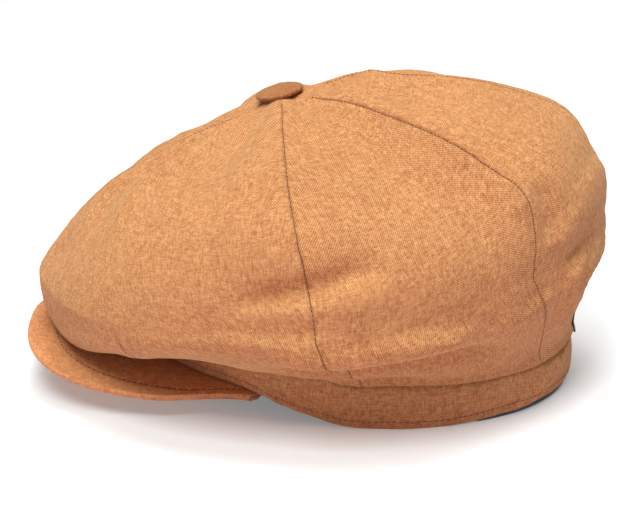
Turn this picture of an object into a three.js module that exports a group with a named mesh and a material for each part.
// Eight-panel newsboy cap in millimetres: +Z up, brim towards -Y, wearer's left towards +X.
// The floor is z = 0 and the origin is under the middle of the cap's overall length and width.
import * as THREE from "three";

// Headband.
const BAND_HALF_WIDTH = 76;
const BAND_HALF_LENGTH = 105.3;
const BAND_MIDDLE_Y = 1.4;
const BAND_EGG = 0.12; // how much narrower the oval is towards the forehead
const BAND_HEIGHT = 20.5;
const BAND_THICK = 1.1;
const BAND_LIFT_SIDE = 13.5; // rise of the lower edge where the brim begins
const BAND_LIFT_FRONT = 4; // further rise towards the middle of the forehead
const BAND_TOP_FOLLOW = 0.8; // share of that rise which the upper edge follows
const BAND_FRONT_EXTRA = 6; // how much taller the band is under the overhang
const INTERLINING_THICK = 0.7;
const SWEATBAND_THICK = 1.0;
const SWEATBAND_HEIGHT = 31;
const POCKET_FRONT = 3.4; // extra room for the brim's sewing edge behind the forehead
const LAYER_GAP = 0.32;

// Crown.
const CROWN_HALF_WIDTH = 116;
const CROWN_FRONT_REACH = 157.4;
const CROWN_BACK_REACH = 120.5;
const CROWN_WIDE_Y = -27; // where the crown is widest
const CROWN_BACK_BOX = 0.85; // below 1 squares the outline off towards the back
const WIDEST_Z_FRONT = 53.4;
const WIDEST_Z_SIDE = 60;
const WIDEST_Z_BACK = 83.2;
const FULLNESS_FRONT = 1.31; // 2 is an ellipse, more is fuller
const FULLNESS_SIDE = 2.0;
const FULLNESS_BACK = 3.67;
const BACK_SWELL = 12.5; // how far the back stands up behind the button
const FRONT_DIP = 2.9; // how far the front falls below and rises above its even curve
const FACET = 3; // how far a panel sags between its seams
const BACK_NARROW = 0.2;
const CLOTH_THICK = 1.0;
const PATCH_THICK = 0.5;
const LINING_THICK = 0.5;
const SEAM_GAP = 0.17; // half the gap between neighbouring panels
const LINING_SEAM_GAP = 0.32;
const SEAM_SWEEP = 8 * (Math.PI / 180);
const FRONT_SWEEP = 12 * (Math.PI / 180); // the front seams start nearer the middle
const PANELS = 8;

// Button.
const BUTTON_AT = new THREE.Vector3(0, -38.5, 142.6);
const BUTTON_RADIUS = 11.8;
const BUTTON_RISE = 3.3;
const BUTTON_LEAN = 13 * (Math.PI / 180);
const PANEL_POINT_RADIUS = 3.2; // the panels' points stop this far from the crown's peak
const LINING_START_RADIUS = 12;
const PATCH_RADIUS = 16;
const THREAD_RADIUS = 1.2;

// Brim.
const BRIM_CORNER = 62 * (Math.PI / 180);
const BRIM_HALF_WIDTH = 72;
const BRIM_TIP_Y = -165;
const BRIM_CORNER_Y = -53;
const BRIM_TIP_Z = 28;
const BRIM_ARCH = 14; // how far the brim curves down to its sides
const BRIM_BULGE = 2.2;
const BRIM_COVER_THICK = 0.7;
const BRIM_BOARD_THICK = 1.6;
const BRIM_TONGUE = 12.5; // height of the sewing edge turned up behind the band
const BRIM_CLEAR = 0.45;

const TAU = Math.PI * 2;
const smooth = (a, b, x) => THREE.MathUtils.smoothstep(x, a, b);

// Angle 0 is the middle of the forehead and the angle grows towards the wearer's left.
function bandPoint(angle, out, z) {
  const c = Math.cos(angle);
  const s = Math.sin(angle);
  const normal = new THREE.Vector2(s / BAND_HALF_WIDTH, -c / BAND_HALF_LENGTH).normalize();
  const x = BAND_HALF_WIDTH * s * (1 - BAND_EGG * c);
  const y = BAND_MIDDLE_Y - BAND_HALF_LENGTH * c;
  return new THREE.Vector3(x + out * normal.x, y + out * normal.y, z);
}

function bandBottom(angle) {
  const c = Math.cos(angle);
  return BAND_LIFT_SIDE * smooth(0, 0.62, c) + BAND_LIFT_FRONT * smooth(0.3, 1, c);
}

function bandTop(angle) {
  const extra = BAND_FRONT_EXTRA * smooth(0.05, 0.32, Math.cos(angle));
  return BAND_HEIGHT + BAND_TOP_FOLLOW * bandBottom(angle) + extra;
}

function pocket(angle) {
  return POCKET_FRONT * smooth(0.2, 0.42, Math.cos(angle));
}

// Where a seam at this angle meets the band: seams drift towards the front and the back.
function sweptAngle(angle) {
  return angle - SEAM_SWEEP * Math.sin(2 * angle);
}

// The crown's outer surface: t runs 0 to 1 from the peak to the widest ring, then 1 to 2 down
// under the fold to the band.
function crownPoint(along, t) {
  const early = 1 - Math.pow(Math.min(t, 1), 3);
  const angle = along - FRONT_SWEEP * early * Math.sin(2 * along) * smooth(0, 0.6, Math.cos(along));
  const c = Math.cos(angle);
  const s = Math.sin(angle);
  const reach = c > 0
    ? -(CROWN_FRONT_REACH + CROWN_WIDE_Y) * c
    : (CROWN_BACK_REACH - CROWN_WIDE_Y) * Math.pow(-c, CROWN_BACK_BOX);
  const front = smooth(0, 1, c);
  const back = smooth(0, 1, -c);
  const peak = smooth(0.55, 1, -c);
  const wide = new THREE.Vector3(
    CROWN_HALF_WIDTH * Math.sign(s) * Math.pow(Math.abs(s), 1 + BACK_NARROW * smooth(0, 0.7, -c)),
    CROWN_WIDE_Y + reach,
    WIDEST_Z_SIDE + (WIDEST_Z_FRONT - WIDEST_Z_SIDE) * front + (WIDEST_Z_BACK - WIDEST_Z_SIDE) * back,
  );
  if (t <= 1) {
    const full = FULLNESS_SIDE + (FULLNESS_FRONT - FULLNESS_SIDE) * front
      + (FULLNESS_BACK - FULLNESS_SIDE) * peak;
    const out = Math.pow(Math.sin((t * Math.PI) / 2), 2 / full);
    const up = Math.pow(Math.max(Math.cos((t * Math.PI) / 2), 0), 2 / full);
    const hump = 1 - Math.pow(Math.abs(2 * Math.pow(out, 0.65) - 1), 3);
    const swell = BACK_SWELL * peak * smooth(0, 0.25, out) * hump;
    const dip = FRONT_DIP * front * Math.sin(TAU * out);
    const sag = FACET * (0.5 - 0.5 * Math.cos(PANELS * along)) * Math.sin(Math.PI * out);
    return new THREE.Vector3(
      out * wide.x,
      BUTTON_AT.y + out * (wide.y - BUTTON_AT.y),
      wide.z + (BUTTON_AT.z - wide.z) * up + swell - sag - dip,
    );
  }
  const u = t - 1;
  const fold = smooth(-0.12, 0.3, c);
  const swept = sweptAngle(angle);
  const low = bandPoint(swept, 0, bandTop(swept) + LAYER_GAP);
  const rear = smooth(0.2, 1, -c);
  const sink = (22 - 12.5 * fold) * (1 - rear) + 14.8 * rear;
  const drop = new THREE.Vector3(wide.x, wide.y + 10 * Math.abs(s) + 4 * rear, wide.z - sink);
  const under = low.clone().lerp(wide, 0.1 + 0.65 * fold);
  under.y -= 6.6 * rear;
  under.z = low.z + 14 - 17 * fold;
  return new THREE.CubicBezierCurve3(wide, drop, under, low).getPoint(u);
}

function crownNormal(angle, t) {
  const d = 0.004;
  const along = crownPoint(angle, Math.min(t + d, 2)).sub(crownPoint(angle, Math.max(t - d, 0.002)));
  const across = crownPoint(angle + d, t).sub(crownPoint(angle - d, t));
  return along.cross(across).normalize();
}

// Where a circle of the given radius about the peak crosses the meridian.
function tAtRadius(angle, radius) {
  let low = 0;
  let high = 1;
  for (let i = 0; i < 40; i += 1) {
    const mid = (low + high) / 2;
    if (crownPoint(angle, mid).distanceTo(BUTTON_AT) < radius) low = mid;
    else high = mid;
  }
  return low;
}

// A closed shell between two grids of points. Rows wrap round when loop is true.
function shell(outer, inner, loop) {
  const rows = outer.length;
  const cols = outer[0].length;
  const positions = [];
  const index = [];
  [...outer, ...inner].forEach((row) => row.forEach((p) => positions.push(p.x, p.y, p.z)));
  const at = (layer, i, j) => (layer * rows + (i % rows)) * cols + j;
  const quad = (a, b, c, d) => index.push(a, b, c, a, c, d);
  const spans = loop ? rows : rows - 1;
  for (let i = 0; i < spans; i += 1) {
    for (let j = 0; j < cols - 1; j += 1) {
      quad(at(0, i, j), at(0, i, j + 1), at(0, i + 1, j + 1), at(0, i + 1, j));
      quad(at(1, i, j), at(1, i + 1, j), at(1, i + 1, j + 1), at(1, i, j + 1));
    }
    quad(at(0, i, 0), at(0, i + 1, 0), at(1, i + 1, 0), at(1, i, 0));
    quad(at(0, i, cols - 1), at(1, i, cols - 1), at(1, i + 1, cols - 1), at(0, i + 1, cols - 1));
  }
  if (!loop) {
    for (let j = 0; j < cols - 1; j += 1) {
      quad(at(0, 0, j), at(1, 0, j), at(1, 0, j + 1), at(0, 0, j + 1));
      quad(at(0, rows - 1, j), at(0, rows - 1, j + 1), at(1, rows - 1, j + 1), at(1, rows - 1, j));
    }
  }
  const geometry = new THREE.BufferGeometry();
  geometry.setAttribute("position", new THREE.Float32BufferAttribute(positions, 3));
  geometry.setIndex(index);
  return facingOut(geometry);
}

// Turns every face of a closed surface round if it faces inwards.
function facingOut(geometry) {
  const index = Array.from(geometry.index.array);
  const corner = (k) => new THREE.Vector3().fromArray(geometry.attributes.position.array, 3 * k);
  let volume = 0;
  for (let i = 0; i < index.length; i += 3) {
    volume += corner(index[i]).dot(corner(index[i + 1]).cross(corner(index[i + 2])));
  }
  if (volume < 0) {
    for (let i = 0; i < index.length; i += 3) {
      [index[i + 1], index[i + 2]] = [index[i + 2], index[i + 1]];
    }
    geometry.setIndex(index);
  }
  return geometry;
}

const cap = new THREE.Group();
cap.name = "newsboy_cap";

function addNode(name, geometry, color, roughness = 0.9) {
  geometry.computeVertexNormals();
  const mesh = new THREE.Mesh(geometry, new THREE.MeshStandardMaterial({ color, roughness }));
  mesh.name = name;
  cap.add(mesh);
  return mesh;
}

const LINEN = 0xc98759;
const LINING = 0x4a4f58;
const BOARD = 0xd9d4c6;

// One crown panel, or the lining panel that lies under it.
function panel(first, last, depth, thick, gap, start) {
  const acrossSteps = 4;
  const rows = { outer: [], inner: [] };
  for (let i = 0; i <= acrossSteps; i += 1) {
    const base = first + ((last - first) * i) / acrossSteps;
    const near = tAtRadius(base, start);
    const ring = tAtRadius(base, PATCH_RADIUS + 1);
    const stops = [near, ring];
    for (let k = 1; k <= 6; k += 1) stops.push(ring + ((1 - ring) * k) / 6);
    [1.15, 1.32, 1.52, 1.75, 2].forEach((t) => stops.push(t));
    const side = i === 0 ? 1 : i === acrossSteps ? -1 : 0;
    const outer = [];
    const inner = [];
    stops.forEach((t) => {
      const d = 0.004;
      const speed = crownPoint(base + d, t).distanceTo(crownPoint(base - d, t)) / (2 * d);
      const angle = base + (side * gap) / speed;
      const normal = crownNormal(base, t);
      outer.push(crownPoint(angle, t).addScaledVector(normal, -depth));
      inner.push(crownPoint(angle, t).addScaledVector(normal, -depth - thick));
    });
    rows.outer.push(outer);
    rows.inner.push(inner);
  }
  return shell(rows.outer, rows.inner, false);
}

const places = ["front_left", "front_side_left", "rear_side_left", "rear_left"];
places.push("rear_right", "rear_side_right", "front_side_right", "front_right");
const patchDepth = CLOTH_THICK + LAYER_GAP;
const liningDepth = patchDepth + PATCH_THICK + LAYER_GAP;
places.forEach((place, k) => {
  const first = (TAU * k) / PANELS;
  const last = (TAU * (k + 1)) / PANELS;
  addNode("crown_" + place, panel(first, last, 0, CLOTH_THICK, SEAM_GAP, PANEL_POINT_RADIUS), LINEN);
  const under = panel(first, last, liningDepth, LINING_THICK, LINING_SEAM_GAP, LINING_START_RADIUS);
  addNode("lining_" + place, under, LINING);
});

// Round patch sewn under the panels' points.
function crownPatch() {
  const outer = [];
  const inner = [];
  const steps = PANELS * 4;
  for (let i = 0; i < steps; i += 1) {
    const angle = (TAU * i) / steps;
    const stops = [PANEL_POINT_RADIUS, (PANEL_POINT_RADIUS + PATCH_RADIUS) / 2, PATCH_RADIUS];
    const ts = stops.map((radius) => tAtRadius(angle, radius));
    const lay = (depth) => ts.map((t) => crownPoint(angle, t).addScaledVector(crownNormal(angle, t), -depth));
    outer.push(lay(patchDepth));
    inner.push(lay(patchDepth + PATCH_THICK));
  }
  return shell(outer, inner, true);
}
addNode("crown_patch", crownPatch(), LINING);

// A ring that follows the band: profile(angle) gives pairs of outer and inner [out, z].
function bandRing(profile) {
  const outer = [];
  const inner = [];
  for (let i = 0; i < PANELS * 4; i += 1) {
    const angle = sweptAngle((TAU * i) / (PANELS * 4));
    const pairs = profile(angle);
    outer.push(pairs.map(([o]) => bandPoint(angle, o[0], o[1])));
    inner.push(pairs.map(([, n]) => bandPoint(angle, n[0], n[1])));
  }
  return shell(outer, inner, true);
}

addNode("outer_band", bandRing((angle) => {
  const low = bandBottom(angle);
  const high = bandTop(angle);
  return [[[0, low], [-BAND_THICK, low]], [[0.6, low + 8], [0.6 - BAND_THICK, low + 8]],
    [[0, high], [-BAND_THICK, high]]];
}), LINEN);

const interliningOut = -BAND_THICK - LAYER_GAP;
addNode("band_interlining", bandRing((angle) => {
  const low = bandBottom(angle) + 1.5;
  const high = bandTop(angle) - 1.2;
  const inside = interliningOut - INTERLINING_THICK;
  return [[[interliningOut, low], [inside, low]], [[interliningOut, high], [inside, high]]];
}), BOARD);

const sweatbandOut = interliningOut - INTERLINING_THICK - LAYER_GAP - 0.9;
addNode("sweatband", bandRing((angle) => {
  const low = bandBottom(angle) + 2;
  const out = sweatbandOut - pocket(angle);
  const inside = out - SWEATBAND_THICK;
  const high = low + SWEATBAND_HEIGHT;
  return [[[out, low], [inside, low]], [[out, high], [inside, high]]];
}), LINING);

// Brim: s runs -1 to 1 from the right corner to the left, r runs 0 to 1 from the band outwards.
function brimPoint(s, r) {
  const turn = (s * Math.PI) / 2;
  const cosTurn = Math.max(Math.cos(turn), 0);
  const inside = bandPoint(s * BRIM_CORNER, 0, bandBottom(s * BRIM_CORNER) - BRIM_CLEAR);
  const outside = new THREE.Vector3(
    BRIM_HALF_WIDTH * Math.sign(s) * Math.pow(Math.abs(Math.sin(turn)), 0.7),
    BRIM_CORNER_Y + (BRIM_TIP_Y - BRIM_CORNER_Y) * Math.pow(cosTurn, 0.66),
    0,
  );
  outside.z = BRIM_TIP_Z - BRIM_ARCH * Math.pow(outside.x / BRIM_HALF_WIDTH, 2);
  outside.lerp(inside, 0.7 * smooth(0.84, 1, Math.abs(s)));
  const p = inside.lerp(outside, r);
  p.z += BRIM_BULGE * Math.sin(Math.PI * r) * (1 - s * s);
  return p;
}

// A piece of the brim: stops(s) gives pairs of upper and lower points.
function brimPiece(steps, stops) {
  const upper = [];
  const lower = [];
  for (let i = 0; i <= steps; i += 1) {
    const s = -0.985 + (1.97 * i) / steps;
    const pairs = stops(Math.sin((s * Math.PI) / 2) * 0.35 + s * 0.65);
    upper.push(pairs.map(([top]) => top));
    lower.push(pairs.map(([, bottom]) => bottom));
  }
  return shell(upper, lower, false);
}

function brimWidth(s) {
  return brimPoint(s, 0).distanceTo(brimPoint(s, 1));
}

function under(s, r, drop) {
  const p = brimPoint(s, r);
  p.z -= drop;
  return p;
}

const boardTop = BRIM_COVER_THICK + LAYER_GAP;
const boardBottom = boardTop + BRIM_BOARD_THICK;
const underTop = boardBottom + LAYER_GAP;
const underBottom = underTop + BRIM_COVER_THICK;
const ribs = [0.86, 0.62, 0.36, 0.14, 0];

addNode("brim_top_cover", brimPiece(22, (s) => {
  const edge = 1 - 0.9 / brimWidth(s);
  const wrap = edge - BRIM_COVER_THICK / brimWidth(s);
  const lip = 1 - BRIM_COVER_THICK / brimWidth(s);
  const pairs = [[under(s, 1, underBottom - 0.4), under(s, lip, underBottom - 0.4)],
    [under(s, 1, 0.6), under(s, lip, 0.9)],
    [under(s, edge, 0), under(s, wrap, BRIM_COVER_THICK)]];
  ribs.forEach((r) => pairs.push([under(s, r * edge, 0), under(s, r * edge, BRIM_COVER_THICK)]));
  return pairs;
}), LINEN);

const tongueOut = sweatbandOut - POCKET_FRONT + 1.7;
addNode("brim_board", brimPiece(22, (s) => {
  const angle = s * BRIM_CORNER;
  const edge = 1 - (BRIM_COVER_THICK + 1.3) / brimWidth(s);
  const floor = bandBottom(angle) - BRIM_CLEAR;
  const pairs = [edge, ...ribs.map((r) => r * (1 - 2 / brimWidth(s)))].map((r) => (
    [under(s, r, boardTop), under(s, r, boardBottom)]));
  [[boardTop, boardBottom], [-BRIM_TONGUE, -BRIM_TONGUE]].forEach(([near, far]) => {
    pairs.push([bandPoint(angle, tongueOut, floor - near), bandPoint(angle, tongueOut - 0.8, floor - far)]);
  });
  return pairs;
}), BOARD);

addNode("brim_under_cover", brimPiece(22, (s) => {
  const edge = 1 - (BRIM_COVER_THICK + 0.35) / brimWidth(s);
  return [edge, ...ribs.map((r) => r * edge)].map((r) => [under(s, r, underTop), under(s, r, underBottom)]);
}), LINEN);

// Covered button, built upright and then leaned forwards onto the crown.
function lathe(points, seat) {
  const profile = points.map(([r, z]) => new THREE.Vector2(r, z));
  const turned = new THREE.LatheGeometry([...profile, profile[0]], 28).rotateX(Math.PI / 2);
  turned.rotateX(BUTTON_LEAN).translate(BUTTON_AT.x, BUTTON_AT.y, BUTTON_AT.z + seat);
  return facingOut(turned);
}

const seat = 0.9;
const domed = (radius, rise, steps) => Array.from({ length: steps + 1 }, (_, i) => {
  const a = ((Math.PI / 2) * i) / steps;
  return [radius * Math.sin(a), rise * (0.45 + 0.55 * Math.cos(a))];
});
const coverOuter = domed(BUTTON_RADIUS, BUTTON_RISE, 6);
const coverInner = domed(BUTTON_RADIUS - 0.6, BUTTON_RISE - 0.6, 6);
addNode("button_cover", lathe([...coverOuter, [BUTTON_RADIUS, 0.5], [BUTTON_RADIUS - 0.6, 0],
  [BUTTON_RADIUS - 2.4, 0], [BUTTON_RADIUS - 2.4, 0.5], [BUTTON_RADIUS - 0.6, 0.8],
  ...coverInner.reverse()], seat), LINEN);
const shellOuter = domed(BUTTON_RADIUS - 0.95, BUTTON_RISE - 0.95, 5);
const shellInner = domed(BUTTON_RADIUS - 1.45, BUTTON_RISE - 1.45, 5);
addNode("button_shell", lathe([...shellOuter, [BUTTON_RADIUS - 0.95, 1.05], [BUTTON_RADIUS - 1.45, 1.05],
  ...shellInner.reverse()], seat), 0x9a9ca0, 0.4);
addNode("button_back", lathe([[THREAD_RADIUS + 0.3, 0.1], [BUTTON_RADIUS - 2.75, 0.1],
  [BUTTON_RADIUS - 2.75, 0.9], [THREAD_RADIUS + 0.3, 0.9]], seat), 0x2b2b2d, 0.6);
addNode("button_thread", lathe([[0, -5.2], [THREAD_RADIUS + 3, -5.2], [THREAD_RADIUS + 3, -4.2],
  [THREAD_RADIUS, -4], [THREAD_RADIUS, 0.8], [0, 0.8]], seat), 0x6b3f26);

// Plain dark tab sewn outside the centre back, just above the band.
const TAB_WIDTH = 16;
const TAB_HEIGHT = 14;
const TAB_THICK = 0.9;
const TAB_LOW = 22.5;
const TAB_LIFT = 1.15; // its stitched fold stands off the cloth this far
function rearTab() {
  const outer = [];
  const inner = [];
  for (let i = 0; i <= 6; i += 1) {
    const x = TAB_WIDTH * (i / 6 - 0.5);
    const angle = Math.PI - Math.asin(x / BAND_HALF_WIDTH) * 1.5;
    const column = (lift) => [0, 0.5, 1].map((k) => {
      const z = TAB_LOW + TAB_HEIGHT * k;
      let low = 1;
      let high = 2;
      for (let n = 0; n < 30; n += 1) {
        const mid = (low + high) / 2;
        if (crownPoint(angle, mid).z > z) low = mid;
        else high = mid;
      }
      return crownPoint(angle, low).addScaledVector(crownNormal(angle, low), lift);
    });
    outer.push(column(TAB_THICK + TAB_LIFT));
    inner.push(column(TAB_LIFT));
  }
  return shell(outer, inner, false);
}
addNode("rear_tab", rearTab(), 0x1d211f);

// Blank woven label on the lining under the crown's back.
function makerLabel() {
  const outer = [];
  const inner = [];
  for (let i = 0; i <= 6; i += 1) {
    const angle = Math.PI + (i / 6 - 0.5) * 0.34;
    const lay = (depth) => [0.3, 0.35, 0.4, 0.45].map((t) => (
      crownPoint(angle, t).addScaledVector(crownNormal(angle, t), -depth)));
    outer.push(lay(liningDepth + LINING_THICK + 1.7));
    inner.push(lay(liningDepth + LINING_THICK + 2.2));
  }
  return shell(outer, inner, false);
}
addNode("maker_label", makerLabel(), 0xb9b4a6);

// Blank size flap that hangs from the sweatband's top edge at the centre back.
const FLAP_WIDTH = 18;
const FLAP_DROP = 20;
const FLAP_THICK = 0.5;
const flap = new THREE.BoxGeometry(FLAP_WIDTH, FLAP_THICK, FLAP_DROP);
const flapFace = bandPoint(Math.PI, sweatbandOut - SWEATBAND_THICK, 0).y;
flap.translate(0, flapFace - 1.2 - FLAP_THICK / 2, 2 + SWEATBAND_HEIGHT - 1 - FLAP_DROP / 2);
addNode("size_label", flap, 0xe6e2d6);

// The origin moves to the middle of the overall length and width, on the floor.
const bounds = new THREE.Box3().setFromObject(cap);
const middle = bounds.getCenter(new THREE.Vector3());
cap.children.forEach((mesh) => mesh.geometry.translate(-middle.x, -middle.y, -bounds.min.z));

export default cap;
